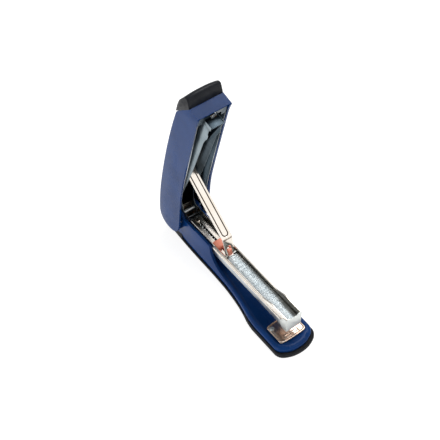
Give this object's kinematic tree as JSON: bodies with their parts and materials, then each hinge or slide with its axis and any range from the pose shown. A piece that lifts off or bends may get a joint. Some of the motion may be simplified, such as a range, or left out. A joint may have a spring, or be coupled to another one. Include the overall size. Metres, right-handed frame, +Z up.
{
  "type": "desktop stapler",
  "caption": "Full-strip desktop stapler opened for loading: blue flip-up handle, loading link, steel magazine with staples, flat anvil and black sole.",
  "frame": {"origin": "on the sole's underside, straight below the outer face of the magazine's front plate", "axes": "+X forward along the stapler, +Y to its left, +Z up"},
  "size_m": [0.1879, 0.0416, 0.2005],
  "materials": {
    "blue_shell": "moulded slate-blue plastic, satin gloss",
    "soft_black": "matt black soft-touch rubber",
    "bright_nickel": "bright nickel plate on folded sheet steel",
    "plain_steel": "brushed plain steel",
    "dark_steel": "dark phosphated sheet steel",
    "salmon_plastic": "salmon-red moulded plastic",
    "staple_wire": "galvanised flat staple wire, glued in strips"
  },
  "bodies": {
    "base": {"base_shell": "blue_shell", "sole_pad": "soft_black", "anvil_plate": "bright_nickel", "anvil_die": "plain_steel", "anvil_screw_right": "plain_steel", "anvil_screw_left": "plain_steel", "hinge_pin": "plain_steel", "lift_spring": "plain_steel"},
    "magazine": {"magazine_channel": "plain_steel", "magazine_cover": "bright_nickel", "front_plate": "bright_nickel", "front_rivet_right": "bright_nickel", "front_rivet_left": "bright_nickel", "staple_core": "plain_steel", "core_rivet": "bright_nickel", "staple_strip": "staple_wire", "spring_rod": "plain_steel", "pusher_spring": "plain_steel"},
    "pusher": {"pusher_block": "salmon_plastic", "pusher_plate": "bright_nickel"},
    "handle": {"handle_cover": "blue_shell", "nose_cap": "soft_black", "lever_channel": "dark_steel", "nose_screw": "plain_steel", "driver_frame": "plain_steel", "driver_blade": "plain_steel", "blade_rivet_right": "plain_steel", "blade_rivet_left": "plain_steel", "link_pin": "plain_steel", "lever_spring": "plain_steel"},
    "link": {"link_arm": "bright_nickel"}
  },
  "joints": [
    {"name": "magazine_press", "type": "hinge", "parent": "base", "child": "magazine", "pos_m": [-0.151, 0, 0.0315], "axis": [0, 1, 0], "range_deg": [0, 3.7], "stiffness_Nm_per_rad": 1.6, "springref_deg": -9.74, "deforming": ["lift_spring"]},
    {"name": "handle_hinge", "type": "hinge", "parent": "magazine", "child": "handle", "pos_m": [-0.151, 0, 0.0315], "axis": [0, 1, 0], "range_deg": [0, 75.5]},
    {"name": "link_swing", "type": "hinge", "parent": "handle", "child": "link", "pos_m": [-0.14938, 0, 0.08963], "axis": [0, 1, 0], "range_deg": [-113, 0]},
    {"name": "pusher_slide", "type": "slide", "parent": "magazine", "child": "pusher", "axis": [1, 0, 0], "range_m": [-0.027, 0], "stiffness_N_per_m": 50, "springref_m": 0.03, "deforming": ["pusher_spring"]}
  ],
  "couplings": [
    {"joint": "link_swing", "follows": "handle_hinge", "ratio": -1.49}
  ]
}
